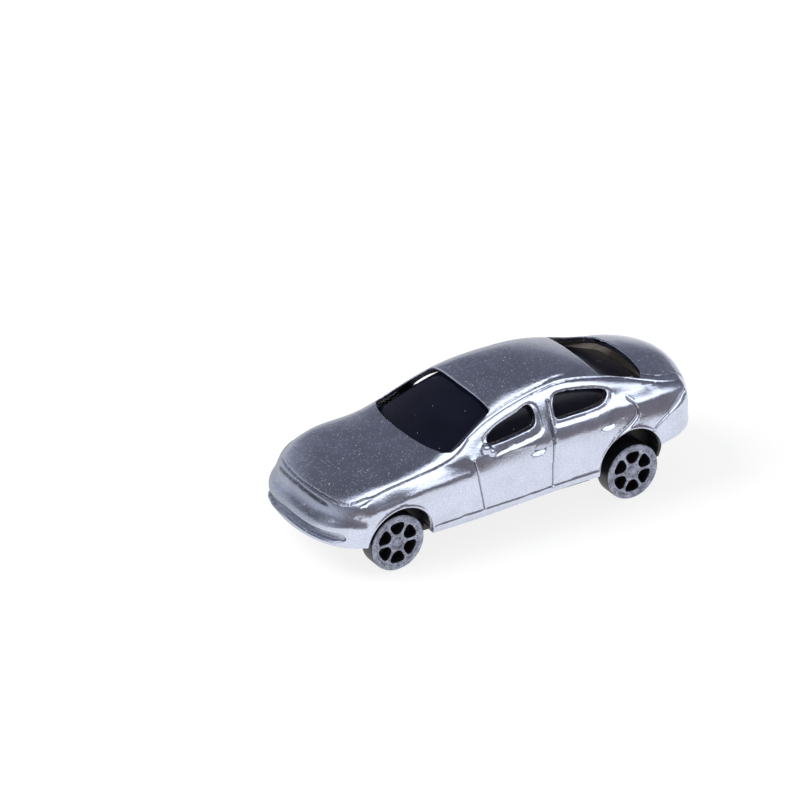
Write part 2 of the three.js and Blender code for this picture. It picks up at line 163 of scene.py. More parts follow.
def path_distance(a, b, points):
    """Distance from (a, b) to a path of straight pieces."""
    nearest = np.float32(1e6)
    for start, end in zip(points[:-1], points[1:]):
        along = end - start
        da, db = a - np.float32(start[0]), b - np.float32(start[1])
        reach = np.clip((da * along[0] + db * along[1]) / (along @ along), 0, 1)
        reach = reach.astype(np.float32)
        gap = (da - reach * along[0]) ** 2 + (db - reach * along[1]) ** 2
        nearest = np.minimum(nearest, gap.astype(np.float32))
    return np.sqrt(nearest)


def outline_distance(a, b, points, radius=0.0):
    """Signed distance to a closed outline grown by a radius, negative inside."""
    points = np.array(points, float)
    edge = path_distance(a, b, np.vstack([points, points[:1]]))
    inside = np.zeros(np.broadcast(a, b).shape, bool)
    for (a0, b0), (a1, b1) in zip(points, np.roll(points, -1, axis=0)):
        if b0 == b1:
            continue
        crosses = (b < max(b0, b1)) & (b >= min(b0, b1))
        inside ^= crosses & (a < a0 + (b - b0) * (a1 - a0) / (b1 - b0))
    return np.where(inside, -edge, edge) - radius


def mirrored(half):
    """A closed outline made from the half of it at positive x."""
    return [*half, *((-x, y) for x, y in reversed(half) if x > 0)]


def furrow(distance, half_width, depth):
    """A soft-sided groove along a line. A negative depth makes it a ridge."""
    return depth * np.exp(-(distance / half_width) ** 2)


def ellipsoid(x, y, z, centre, radii):
    """Roughly the distance from an ellipsoid's surface, negative inside it."""
    reach = sum(((p - c) / r) ** 2 for p, c, r in zip((x, y, z), centre, radii))
    return (np.sqrt(reach) - 1) * min(radii)


# ------------------------------------------------------------------ the body form, close to the CAD's

bonnet_to_boot_height = curve([
    [-34.9, 11.0], [-32.9, 12.9], [-29.4, 14.4], [-24.4, 15.4], [-14.4, 16.6], [-0.4, 17.6],
    [13.6, 18.6], [23.6, 19.0], [28.6, 18.7], [33.6, 17.3], [36.6, 16.0]])
top_crown = curve([[-34.4, 0.035], [-28.4, 0.016], [-14.4, 0.012], [23.6, 0.018], [33.6, 0.03]])
half_width = curve([
    [-36.4, 9.5], [-33.4, 11.3], [-29.4, 12.3], [-24.4, 12.75], [-14.4, 12.95], [-0.4, 13.0],
    [15.6, 12.95], [23.6, 12.8], [29.6, 12.1], [34.6, 10.6], [37.6, 9.0]])
flank_section = curve([
    [3.5, -1.0], [5.5, -0.45], [8.0, -0.08], [10.5, 0.0], [12.5, -0.1], [14.5, -0.55],
    [17.0, -1.7], [19.0, -3.2]])
nose_line = curve([[4.0, -33.0], [6.0, -33.8], [8.5, -34.2], [11.0, -33.7], [13.0, -32.7], [15.0, -30.4]])
tail_line = curve([[4.0, 31.8], [7.0, 32.9], [11.0, 33.6], [14.0, 34.0], [16.5, 34.2], [18.5, 34.2]])
sill_height = curve([
    [-34.4, 5.55], [-27.4, 5.1], [-16.4, 4.8], [-8.4, 5.0], [-0.4, 5.5], [7.6, 6.0], [15.6, 6.3],
    [21.6, 7.8], [26.6, 8.5], [33.6, 9.2]])
cabin_half_width = curve([
    [-16.4, 9.6], [-11.4, 11.0], [-4.4, 12.1], [4.6, 12.4], [13.6, 12.2], [21.6, 11.2], [29.6, 9.8]])
roof_height = curve([
    [-8.4, 21.2], [-3.4, 22.2], [2.6, 22.9], [7.6, 23.0], [13.6, 22.5], [19.6, 21.2], [24.6, 19.8]])
BELT_HEIGHT = 15.0
CABIN_FLOOR = 12.0
CABIN_END = 30.5
FRONT_ARCH = (-21.6, 5.3, 5.4)
REAR_ARCH = (19.5, 6.8, 5.7)
SHELL_WALL = 1.0


def lower_form(x, y, z):
    """Bonnet, flanks and boot, up to the belt line. The factor of a face allows for its steepest
    slope, so that the field stays close to the distance from the face."""
    flank = 0.97 * (np.abs(x) - half_width(y) - flank_section(z))
    top = 0.95 * (z - bonnet_to_boot_height(y) + top_crown(y) * x * x)
    nose = 0.93 * (nose_line(z) + 0.019 * x ** 2 + 0.00009 * x ** 4 - y)
    tail = 0.93 * (y - tail_line(z) + 0.016 * x ** 2 + 0.00003 * x ** 4)
    return round_max(round_max(round_max(flank, top, 4), nose, 5), tail, 4)


def cabin_faces(x, y, z):
    """The side, roof, windscreen and rear window faces of the cabin, each as its own field."""
    above = np.maximum(z - BELT_HEIGHT, 0)
    side = 0.87 * (np.abs(x) - cabin_half_width(y) + 0.5 * above + 0.02 * above ** 2)
    roof = 0.98 * (z - roof_height(y) + 0.017 * x * x)
    windscreen = 0.42 * (2.05 * (z - 16.2) + 0.022 * x * x - (y + 15.0))
    rear_window = 0.34 * (2.7 * (z - 18.8) + 0.02 * x * x + (y - 24.2))
    return side, roof, windscreen, rear_window


def cabin_form(x, y, z):
    """The cabin, from a floor inside the lower body up to the roof."""
    side, roof, windscreen, rear_window = cabin_faces(x, y, z)
    rounded = round_max(round_max(round_max(side, roof, 3), windscreen, 2.2), rear_window, 3)
    return np.maximum(rounded, np.maximum(CABIN_FLOOR - z, y - CABIN_END))


def body_form(x, y, z):
    return round_min(lower_form(x, y, z), cabin_form(x, y, z), 2)


# ------------------------------------------------------------------ moulded relief on the shell

# Grooves, as (half width, depth). Those with a negative depth are ridges.
DOOR_GROOVE = (0.13, 0.17)
DOOR_GROOVE_LIP = (0.13, -0.04)
PILLAR_GROOVE = (0.24, 0.25)
REAR_LAMP_GROOVE = (0.14, 0.2)
REAR_LAMP_RIDGE = (0.35, -0.14)
ARCH_LIP = (0.22, -0.13)
SHOULDER_RIDGE = (0.75, -0.2)
PILLAR_FOOT_HOLLOW = (0.7, 0.16)
LOWER_ROOF_GROOVE = (0.12, 0.09)
UPPER_ROOF_GROOVE = (0.12, 0.08)
BONNET_GROOVE = (0.1, 0.11)
LAMP_GROOVE = (0.1, 0.07)
BONNET_EDGE_GROOVE = (0.11, 0.11)
GRILLE_SLOT = (0.2, 0.22)
NOSE_SEAM = (0.1, 0.07)
INTAKE_LIP = (0.28, -0.34)
BOOT_LID_GROOVE = (0.13, 0.15)
TAIL_LAMP_GROOVE = (0.14, 0.15)
DOOR_LIP_GAP = 0.36
ARCH_LIP_GAP = 0.25
ROOF_GROOVE_GAP = 0.5
NOSE_SEAM_ACROSS = 11.9

# Lines in the side view, as (y, z).
DOOR_LINES = [
    [(-8.6, 14.6), (-8.4, 13.2), (-8.2, 11.6), (-7.8, 9.6), (-7.2, 6.9)],
    [(5.2, 14.6), (5.0, 11.0), (5.1, 7.1)],
    [(19.8, 17.0), (20.7, 16.0), (20.9, 15.1), (20.4, 14.2), (18.9, 13.2), (16.9, 12.2),
     (15.3, 10.8), (14.2, 9.2), (13.6, 7.5)]]
PILLAR_LINE = [(6.1, 19.6), (5.8, 18.4), (5.5, 17.4), (5.35, 16.0), (5.3, 14.5)]
REAR_LAMP_LINE = [(23.2, 11.1), (24.6, 12.2), (26.3, 13.1), (27.3, 13.7), (29.0, 14.4), (31.0, 15.2)]
REAR_LAMP_RIDGE_LINE = [(26.8, 13.2), (29.0, 13.7), (30.8, 14.2)]
HANDLE_CENTRES = [(2.4, 13.4), (15.2, 14.05)]
HANDLE_HALF_LENGTH = 1.35
HANDLE_HALF_HEIGHT = 0.4
HANDLE_SLOPE = 0.08
HANDLE_HEIGHT = 0.24
HANDLE_TILT = 0.6
SILL_STEP = 0.22
WINDOW_FRAME_STEP = 0.17
WINDOW_FRAME_SLOPE = 0.09
sill_crease = curve([[-16.4, 6.1], [-8.0, 6.5], [-0.9, 6.7], [6.3, 7.1], [13.6, 7.25]])
wing_crease = curve([
    [-27.2, 10.6], [-25.7, 11.1], [-22.3, 11.6], [-18.8, 12.3], [-15.2, 12.6], [-9.4, 12.9]])
wing_shoulder = curve([[-0.1, 0.0], [0.0, 0.0], [0.8, 0.17], [1.3, 0.2], [2.8, 0.0]])
shoulder_line = curve([[15.0, 16.5], [18.3, 16.4], [21.0, 16.2], [25.5, 16.2], [31.0, 15.6]])
pillar_foot_line = curve([[15.0, 18.2], [20.0, 17.5], [26.0, 16.8]])
drip_height = curve([
    [-8.6, 17.4], [-5.2, 18.9], [-2.3, 19.8], [1.7, 20.6], [5.6, 21.1], [9.4, 21.3], [13.0, 20.9],
    [16.6, 20.1], [20.2, 19.1], [23.6, 18.0], [26.8, 17.1], [30.6, 16.2]])

# Lines in the plan view, as (x, y), on the positive side.
BONNET_SIDE_LINE = [
    (10.2, -28.3), (10.6, -27.1), (11.1, -25.4), (11.2, -21.4), (10.9, -17.0),
    (10.9, -12.6), (10.6, -10.2), (10.0, -8.4)]
LAMP_LINE = [(7.9, -30.4), (9.4, -29.5), (10.2, -28.3)]
LAMP_CORNER_LINE = [(11.0, -28.1), (11.2, -27.2), (11.2, -26.0)]

# Lines across the nose, as height against distance from the middle.
bonnet_edge_height = curve([[0, 12.75], [3, 12.7], [5.5, 12.5], [8, 12.2], [9.5, 12.0]])
grille_height = curve([[0, 12.15], [3.6, 11.95], [6.4, 11.6], [8.5, 11.4]])
bumper_crease_height = curve([[0, 9.6], [3.4, 9.3], [7, 9.0], [11, 8.8], [12.5, 8.5]])
intake_top_height = curve([[0, 8.8], [3.6, 8.5], [6.3, 8.2], [9, 8.0], [11, 7.9]])
intake_bottom_height = curve([[0, 7.2], [3.4, 6.85], [6.1, 6.6], [8.4, 6.5], [10.5, 6.4]])
INTAKE_HALF_WIDTH = 10.6
INTAKE_CORNER_RADIUS = 0.6
INTAKE_DEPTH = 0.55

# The bumper's ledge: how far it goes in (positive) or out, against height over its crease.
ledge_profile = curve([
    [-1.6, -0.05], [-0.3, -0.24], [0.0, -0.26], [1.15, 0.36], [1.4, 0.4], [2.1, 0.22], [2.8, 0.05],
    [3.3, 0.0]])

# The boot lid, lamps and plate recess on the tail.
BOOT_LID_HALF_WIDTH = 7.4
BOOT_LID_BOTTOM = 11.5
TAIL_LAMP_EDGE_HEIGHT = 14.6
PLATE_RECESS = ([(0, 12.7), (3.2, 12.7), (3.2, 13.6), (0, 13.6)], 0.35)
PLATE_DEPTH = 0.22
REAR_BUMPER_STEP = 0.3

# Side windows and the stepped frames round them, as smooth outlines in the side view.
FRONT_WINDOW = smooth_outline([
    (-5.1, 16.2), (-5.6, 16.6), (-5.4, 17.3), (-4.4, 18.0), (-3.0, 18.55), (-1.2, 19.0), (0.6, 19.4),
    (2.0, 19.85), (2.9, 19.8), (3.3, 19.1), (3.25, 18.0), (2.8, 17.3), (2.0, 16.95), (0.0, 16.65),
    (-3.0, 16.3)])
REAR_WINDOW = smooth_outline([
    (6.7, 17.4), (6.65, 18.2), (6.9, 19.2), (7.6, 20.05), (8.8, 20.25), (11.2, 20.0), (14.0, 19.5),
    (16.1, 18.95), (16.7, 18.4), (16.2, 17.8), (15.0, 17.25), (12.5, 17.1), (9.8, 17.1), (7.4, 17.05)])
FRONT_FRAME = smooth_outline([
    (-5.6, 14.75), (-2.7, 15.05), (0.0, 15.4), (2.8, 15.8), (3.9, 16.4), (4.15, 17.3), (4.2, 18.5),
    (4.0, 19.6), (3.2, 20.15), (2.0, 20.1), (0.6, 19.7), (-1.2, 19.3), (-3.1, 18.8), (-4.8, 18.1),
    (-6.2, 17.2), (-6.5, 15.8)])
REAR_FRAME = smooth_outline([
    (6.3, 16.45), (8.4, 16.35), (11.0, 16.35), (13.6, 16.4), (15.8, 16.65), (17.2, 17.2), (17.7, 18.0),
    (17.3, 18.7), (16.1, 19.25), (14.1, 19.8), (11.2, 20.3), (8.8, 20.55), (7.3, 20.3), (6.4, 19.4),
    (6.15, 18.2), (6.15, 17.1)])

# Windscreen and rear screen in the plan view: corners of an outline and the radius it grows by.
WINDSCREEN = ([(0, -14.2), (3.4, -14.0), (5.6, -13.6), (7.4, -13.1), (9.0, -12.3), (9.5, -11.4),
               (9.4, -10.0), (8.9, -8.1), (8.3, -5.9), (7.8, -4.1), (3.0, -4.4), (0, -4.5)], 0.6)
REAR_SCREEN = ([(0, 16.9), (5.5, 17.0), (6.8, 17.3), (6.9, 19.0), (7.2, 22.3), (7.5, 23.8),
                (6.0, 24.6), (3.0, 24.9), (0, 25.0)], 0.5)


def on_flank(across):
    """1 on the car's sides, 0 nearer the middle."""
    return ramp(across, 8.2, 9.2)


def on_nose(y):
    """1 on the front end, 0 behind it."""
    return 1 - ramp(y, -28.0, -26.6)


def on_tail(y):
    """1 on the rear end, 0 ahead of it."""
    return ramp(y, 29.5, 31.5)


def arch_distance(arch, y, z):
    """Distance from a wheel arch's edge in the side view, negative inside the arch."""
    arch_y, arch_z, radius = arch
    return np.sqrt((y - arch_y) ** 2 + (z - arch_z) ** 2) - radius


def draw_side_grooves(y, z):
    """Door shut lines, the groove in the pillar and the line round the rear lamp, in the side view."""
    depth = furrow(path_distance(y, z, smooth_path(PILLAR_LINE)), *PILLAR_GROOVE)
    for line in DOOR_LINES:
        depth = depth + furrow(path_distance(y, z, smooth_path(line)), *DOOR_GROOVE)
    return depth + furrow(path_distance(y, z, smooth_path(REAR_LAMP_LINE)), *REAR_LAMP_GROOVE)


def draw_side_relief(y, z):
    """Creases, handles and window frames on the flanks, drawn in the side view."""
    relief = furrow(path_distance(y, z, smooth_path(REAR_LAMP_RIDGE_LINE)), *REAR_LAMP_RIDGE)
    for line in DOOR_LINES:
        off_line = path_distance(y, z, smooth_path(line)) - DOOR_LIP_GAP
        relief = relief + furrow(off_line, *DOOR_GROOVE_LIP)
    for handle_y, handle_z in HANDLE_CENTRES:
        along = y - handle_y
        above = z - handle_z - HANDLE_SLOPE * along
        reach = np.sqrt((along / HANDLE_HALF_LENGTH) ** 2 + (above / HANDLE_HALF_HEIGHT) ** 2)
        relief = relief - (HANDLE_HEIGHT - HANDLE_TILT * above) * (1 - ramp(reach, 0.7, 1.1))
    for arch in (FRONT_ARCH, REAR_ARCH):
        relief = relief + furrow(arch_distance(arch, y, z) - ARCH_LIP_GAP, *ARCH_LIP)
    above = z - wing_crease(y)
    wing = ramp(y, -29.0, -25.5) * (1 - ramp(y, -9.6, -9.0))
    relief = relief + wing_shoulder(above) * wing
    below_sill = 1 - ramp(z - sill_crease(y), -0.3, 0.2)
    relief = relief - SILL_STEP * below_sill * between(y, -15.9, 13.4, 0.4)
    quarter = between(y, 17.0, 30.5, 1.5)
    relief = relief + furrow(z - shoulder_line(y), *SHOULDER_RIDGE) * quarter
    pillar_foot = between(y, 18.5, 24.0, 2.0)
    relief = relief + furrow(z - pillar_foot_line(y), *PILLAR_FOOT_HOLLOW) * pillar_foot
    for frame_outline in (FRONT_FRAME, REAR_FRAME):
        into = -outline_distance(y, z, frame_outline)
        relief = relief + WINDOW_FRAME_STEP * ramp(into, -0.2, 0.25)
        relief = relief - WINDOW_FRAME_SLOPE * np.clip(into - 0.25, 0, 1.2)
    return relief


def draw_roof_grooves(y, z):
    """Two thin grooves along the roof's edge."""
    above = z - drip_height(y)
    grooves = furrow(above, *LOWER_ROOF_GROOVE) + furrow(above - ROOF_GROOVE_GAP, *UPPER_ROOF_GROOVE)
    return grooves * between(y, -8.4, 30.4, 0.4)


def draw_bonnet_grooves(across, y):
    """The bonnet's side lines and the lamp's edges. Where lines meet, the deepest one counts."""
    deepest = np.float32(0)
    for line, groove in (
            (BONNET_SIDE_LINE, BONNET_GROOVE), (LAMP_LINE, LAMP_GROOVE), (LAMP_CORNER_LINE, LAMP_GROOVE)):
        deepest = np.maximum(deepest, furrow(path_distance(across, y, smooth_path(line)), *groove))
    return deepest


def draw_nose_grooves(across, z):
    """The bonnet's front edge, the grille slot below it and a moulding seam."""
    edge = furrow(z - bonnet_edge_height(across), *BONNET_EDGE_GROOVE) * (1 - ramp(across, 7.6, 8.4))
    grille = furrow(z - grille_height(across), *GRILLE_SLOT) * (1 - ramp(across, 6.0, 7.8))
    seam = furrow(across - NOSE_SEAM_ACROSS, *NOSE_SEAM) * (1 - ramp(z, 7.1, 7.4))
    return edge + grille + seam


def draw_intake(across, z):
    """How far in the lower intake is, from 0 outside it to 1 on its back wall."""
    above, below = z - intake_top_height(across), intake_bottom_height(across) - z
    beyond = 0.8 * (across - INTAKE_HALF_WIDTH)
    outside = fillet_max(np.maximum(above, below), beyond, INTAKE_CORNER_RADIUS)
    return 1 - ramp(outside, -0.3, 0.02)


def draw_nose_relief(across, z):
    """Bumper ledge and the lip under the lower intake."""
    ledge = ledge_profile(z - bumper_crease_height(across)) * (1 - 0.5 * ramp(across, 7.0, 10.5))
    below = intake_bottom_height(across) - z
    lip = furrow(below - 0.2, *INTAKE_LIP) * (1 + 0.4 * ramp(across, 6.5, 8.5))
    lip = lip * (1 - ramp(across, 9.4, 10.2))
    return ledge + lip


def draw_tail_relief(across, z):
    """Boot lid line, lamp edges, plate recess and bumper ledge across the tail."""
    lid_side = across - BOOT_LID_HALF_WIDTH + 0.1 * (z - 14.0)
    lid = furrow(lid_side, *BOOT_LID_GROOVE) * ramp(z, 11.4, 11.8)
    lid = lid + furrow(z - BOOT_LID_BOTTOM, *BOOT_LID_GROOVE) * (1 - ramp(across, 7.3, 7.7))
    lamp_edge = z - TAIL_LAMP_EDGE_HEIGHT + 0.004 * across ** 2
    lamp = furrow(lamp_edge, *TAIL_LAMP_GROOVE) * ramp(across, 7.4, 8.0)
    corners, radius = PLATE_RECESS
    plate = outline_distance(across, z, mirrored(corners), radius)
    plate = PLATE_DEPTH * (1 - ramp(plate, -0.15, 0.1))
    bumper = -REAR_BUMPER_STEP * (1 - ramp(z, 10.2, 10.9))
    return lid + lamp + plate + bumper


def draw_side_openings(y, z):
    """Distance from the side windows' edges, negative inside them."""
    return np.minimum(outline_distance(y, z, FRONT_WINDOW), outline_distance(y, z, REAR_WINDOW))


def draw_screen_openings(across, y):
    """Distance from the edges of windscreen and rear screen, negative inside them."""
    return np.minimum(*[outline_distance(across, y, mirrored(corners), radius)
                        for corners, radius in (WINDSCREEN, REAR_SCREEN)])


SIDE_VIEW = ((-36, 3), (36, 24))
PLAN_VIEW = ((0, -36), (14, 36))
END_VIEW = ((0, 3), (14, 20))
side_grooves = Chart(draw_side_grooves, *SIDE_VIEW)
side_relief = Chart(draw_side_relief, *SIDE_VIEW)
side_openings = Chart(draw_side_openings, *SIDE_VIEW)
roof_grooves = Chart(draw_roof_grooves, *SIDE_VIEW)
bonnet_grooves = Chart(draw_bonnet_grooves, *PLAN_VIEW)
screen_openings = Chart(draw_screen_openings, *PLAN_VIEW)
nose_grooves = Chart(draw_nose_grooves, *END_VIEW)
intake = Chart(draw_intake, *END_VIEW)
nose_relief = Chart(draw_nose_relief, *END_VIEW)
tail_relief = Chart(draw_tail_relief, *END_VIEW)


# The door mirrors' head and foot, as centre and radii.
MIRROR_HEAD = ((11.5, -6.2, 16.0), (0.8, 0.7, 0.65))
MIRROR_FOOT = ((12.1, -5.4, 15.4), (0.5, 0.5, 0.5))
MIRROR_BLEND = 0.8


def mirror_form(across, y, z):
    """A door mirror: a rounded head on a small foot."""
    return round_min(ellipsoid(across, y, z, *MIRROR_HEAD), ellipsoid(across, y, z, *MIRROR_FOOT),
                     MIRROR_BLEND)


def groove_depth(across, y, z):
    """How deep the moulded lines are at a point of the shell."""
    depth = side_grooves(y, z) * on_flank(across)
    depth = depth + roof_grooves(y, z) * ramp(across, 6.4, 7.0)
    depth = depth + bonnet_grooves(across, y) * ramp(z, 11.8, 12.2)
    return depth + nose_grooves(across, z) * on_nose(y)


# How much thinner the shell's wall is round the windscreen, so that its edge looks thin there.
WINDSCREEN_THINNING = 0.62


def shell_form(x, y, z):
    """The plated shell: outer face with its relief, hollow inside, cut at sill, arches and windows."""
    body = body_form(x, y, z)
    across = np.abs(x)
    outer = body + groove_depth(across, y, z)
    outer = outer + side_relief(y, z) * on_flank(across)
    outer = outer + (nose_relief(across, z) + INTAKE_DEPTH * intake(across, z)) * on_nose(y)
    outer = outer + tail_relief(across, z) * on_tail(y)
    outer = round_min(outer, mirror_form(across, y, z), MIRROR_BLEND)
    screens = screen_openings(across, y)
    thinned = WINDSCREEN_THINNING * (1 - ramp(screens, 0.3, 1.8)) * (1 - ramp(y, 0, 4))
    shell = round_max(outer, -(body + SHELL_WALL - thinned), 0.15)
    shell = round_max(shell, sill_height(y) - z, 0.3)
    for arch in (FRONT_ARCH, REAR_ARCH):
        shell = round_max(shell, -arch_distance(arch, y, z), 0.3)
    shell = round_max(shell, -side_openings(y, z), 0.18)
    return round_max(shell, -screens, 0.3)


# ------------------------------------------------------------------ cabin insert, chassis and wheels

INSERT_WALL = 0.9
INSERT_BOTTOM = 14.2
INSERT_FRONT_Y = -17.4
INSERT_REAR_Y = 27.2
# How far the insert's faces are behind the shell's outer ones.
INSERT_SIDE_GAP = 1.1
INSERT_ROOF_GAP = 1.15
INSERT_WINDSCREEN_GAP = 1.3
INSERT_REAR_WINDOW_GAP = 2.2
INSERT_BODY_GAP = 1.08
LEG_PLACE_X = 9.85
LEG_PLACES_Y = (-1.0, 9.0)
LEG_PLACE_Z = 10.6
LEG_HALF_SIZES = (0.55, 1.5, 4.1)


def insert_form(x, y, z):
    """A dark dome on four legs, under the windows, with flatter and sharper faces than the cabin."""
    side, roof, windscreen, rear_window = cabin_faces(x, y, z)
    faces = round_max(side + INSERT_SIDE_GAP, roof + INSERT_ROOF_GAP, 0.3)
    faces = round_max(faces, windscreen + INSERT_WINDSCREEN_GAP, 0.3)
    faces = round_max(faces, rear_window + INSERT_REAR_WINDOW_GAP, 0.7)
    faces = np.maximum(faces, body_form(x, y, z) + INSERT_BODY_GAP)
    ends = np.maximum(INSERT_FRONT_Y - y, y - INSERT_REAR_Y)
    dome = round_max(np.maximum(faces, -(faces + INSERT_WALL)), np.maximum(ends, INSERT_BOTTOM - z), 0.2)
    half_x, half_y, half_z = LEG_HALF_SIZES
    leg_x = np.abs(np.abs(x) - LEG_PLACE_X) - half_x
    leg_y = np.minimum(*[np.abs(y - place) for place in LEG_PLACES_Y]) - half_y
    leg_z = np.abs(z - LEG_PLACE_Z) - half_z
    leg = round_max(round_max(leg_x, leg_y, 0.3), leg_z, 0.3)
    return round_min(dome, leg, 0.3)


HUB_RADIUS = 1.3
HOLE_INNER_RADIUS = 1.4
HOLE_OUTER_RADIUS = 3.38
HOLE_COUNT = 6
SPOKE_WIDTH = 0.5
RIM_INNER_RADIUS = 3.62
HOLE_DEPTH = 2.2
DISH_RADIUS = 3.72
DISH_DEPTH = 0.14
BACK_ROOM_DEPTH = 0.7
HUB_RING_RADIUS = 0.85
HUB_RING_GROOVE = (0.12, 0.09)
HUB_TIP = (0.3, -0.08)


def on_outer_face(x):
    """1 near a wheel's outer face, 0 further in."""
    return ramp(x, 0.9, 1.2)


def wheel_form(x, y, z):
    """A wheel about the X axis, with its outer face towards +x: a ring, six spokes and a hub."""
    radius = np.sqrt(y * y + z * z)
    half = WHEEL_WIDTH / 2
    wheel = round_max(radius - WHEEL_RADIUS, np.abs(x) - half, 0.5)
    dish = round_max(radius - DISH_RADIUS, half - DISH_DEPTH - x, 0.2)
    wheel = round_max(wheel, -dish, 0.15)
    sector = 2 * math.pi / HOLE_COUNT
    turn = np.arctan2(y, z)
    turn = np.abs(turn - sector * np.round(turn / sector))
    spoke = radius * np.sin(sector / 2 - turn) - SPOKE_WIDTH / 2
    hole = fillet_max(HOLE_INNER_RADIUS - radius, -spoke, 0.55)
    hole = fillet_max(hole, radius - HOLE_OUTER_RADIUS, 0.7)
    hole = round_max(hole, half - HOLE_DEPTH - x, 0.3)
    wheel = round_max(wheel, -hole, 0.22)
    back_room = round_max(radius - RIM_INNER_RADIUS, x + half - BACK_ROOM_DEPTH, 0.3)
    back_room = round_max(back_room, HUB_RADIUS - radius, 0.3)
    wheel = round_max(wheel, -back_room, 0.2)
    mark = furrow(radius - HUB_RING_RADIUS, *HUB_RING_GROOVE) + furrow(radius, *HUB_TIP)
    return wheel + mark * on_outer_face(x)


# ------------------------------------------------------------------ from forms to meshes

# How many grid steps from the surface the sampled field reaches, and how many rows of the grid
# are worked out at a time.
BAND = 3.0
SLAB_ROWS = 64


def sample(form, low, high, step):
    """The form on a grid, clipped to a narrow band about the surface, one slab at a time."""
    axes = [np.arange(a, b + step, step, dtype=np.float32) for a, b in zip(low, high)]
    x, y, z = axes[0][:, None, None], axes[1], axes[2][None, None, :]
    slabs = []
    for start in range(0, len(y), SLAB_ROWS):
        part = form(x, y[start:start + SLAB_ROWS][None, :, None], z)
        slabs.append(np.clip(part, -BAND * step, BAND * step).astype(np.float32))
    return np.concatenate(slabs, axis=1)


def gradient(form, points, reach):
    """How the form changes along each axis at some points, measured over a reach to both sides."""
    columns = []
    for axis in range(3):
        offset = np.zeros(3, np.float32)
        offset[axis] = reach
        columns.append((form(*(points + offset).T) - form(*(points - offset).T)) / (2 * reach))
    return np.stack(columns, axis=1)


def settle(form, points, step):
    """Move points onto the form's surface, and return them with the surface's normals there."""
    for _ in range(2):
        slope = gradient(form, points, 0.4 * step)
        value = form(*points.T)
        shift = -value[:, None] * slope / np.maximum((slope ** 2).sum(axis=1), 0.05)[:, None]
        length = np.linalg.norm(shift, axis=1, keepdims=True)
        points = points + shift * np.minimum(1, 0.5 * step / np.maximum(length, 1e-9))
    slope = gradient(form, points, 0.5 * step)
    return points, slope / np.maximum(np.linalg.norm(slope, axis=1, keepdims=True), 1e-9)


def sculpt(name, form, low, high, step, adaptivity=0.02, symmetric=False, masks=None):
    """A mesh object of a form inside a box. A symmetric form is sampled for x >= 0 only.
    Each mask is a function of points and normals, kept as an attribute for the material."""
    low = np.array(low, np.float32)
    if symmetric:
        low[0] = 0
        half = sample(form, low, high, step)
        values = np.concatenate([half[:0:-1], half], axis=0)
        low[0] = -(half.shape[0] - 1) * step
    else:
        values = sample(form, low, high, step)
    grid = openvdb.FloatGrid(BAND * step)
    grid.copyFromArray(values)
    points, triangles, quads = grid.convertToPolygons(isovalue=0.0, adaptivity=adaptivity)
    points = points.astype(np.float32) * step + low
    points, normals = settle(form, points, step)
    mesh = bpy.data.meshes.new(name)
    faces = [*map(tuple, triangles.tolist()), *map(tuple, quads.tolist())]
    mesh.from_pydata((points * MM).tolist(), [], faces)
    mesh.shade_smooth()
    mesh.normals_split_custom_set_from_vertices(normals.tolist())
    for mask_name, mask in (masks or {}).items():
        layer = mesh.attributes.new(mask_name, "FLOAT", "POINT")
        layer.data.foreach_set("value", mask(points, normals).astype(np.float32))
    piece = bpy.data.objects.new(name, mesh)
    bpy.context.scene.collection.objects.link(piece)
    return piece


# ------------------------------------------------------------------ camera, light and floor

CAMERA_DISTANCE = 0.9
CAMERA_AZIMUTH = math.radians(57.36)
CAMERA_ELEVATION = math.radians(28.9)
# The width of the view at the car, and how far left of and above the origin its centre is.
VIEW_WIDTH = 122.85 * MM
VIEW_CENTRE_LEFT = 12.239 * MM
VIEW_CENTRE_UP = 15.233 * MM


def add_camera():
    """The camera looks from the front left, with the car low and to the right in its frame."""
    az, el = CAMERA_AZIMUTH, CAMERA_ELEVATION
    right = Vector((math.cos(az), math.sin(az), 0))
    up = Vector((-math.sin(az) * math.sin(el), math.cos(az) * math.sin(el), math.cos(el)))
    back = right.cross(up)
    data = bpy.data.cameras.new("camera")
    data.lens = CAMERA_DISTANCE / VIEW_WIDTH * data.sensor_width
    data.clip_start = 0.01
    data.clip_end = 20
    camera = bpy.data.objects.new("camera", data)
    camera.location = back * CAMERA_DISTANCE
    target = up * VIEW_CENTRE_UP - right * VIEW_CENTRE_LEFT
    camera.rotation_euler = (camera.location - target).to_track_quat("Z", "Y").to_euler()
    bpy.context.scene.collection.objects.link(camera)
    bpy.context.scene.camera = camera
    bpy.context.scene.view_settings.view_transform = "Standard"


KEY_PLACE = (-0.25, -0.6, 0.75)
KEY_SIZE = 0.5
KEY_POWER = 7.0


def add_key_light():
    """A soft light aimed at the car, which lights surfaces but isn't mirrored in the plating."""
    data = bpy.data.lights.new("key", "AREA")
    data.shape = "SQUARE"
    data.size = KEY_SIZE
    data.energy = KEY_POWER
    lamp = bpy.data.objects.new("key", data)
    lamp.location = KEY_PLACE
    lamp.rotation_euler = Vector(KEY_PLACE).to_track_quat("Z", "Y").to_euler()
    lamp.visible_glossy = False
    bpy.context.scene.collection.objects.link(lamp)


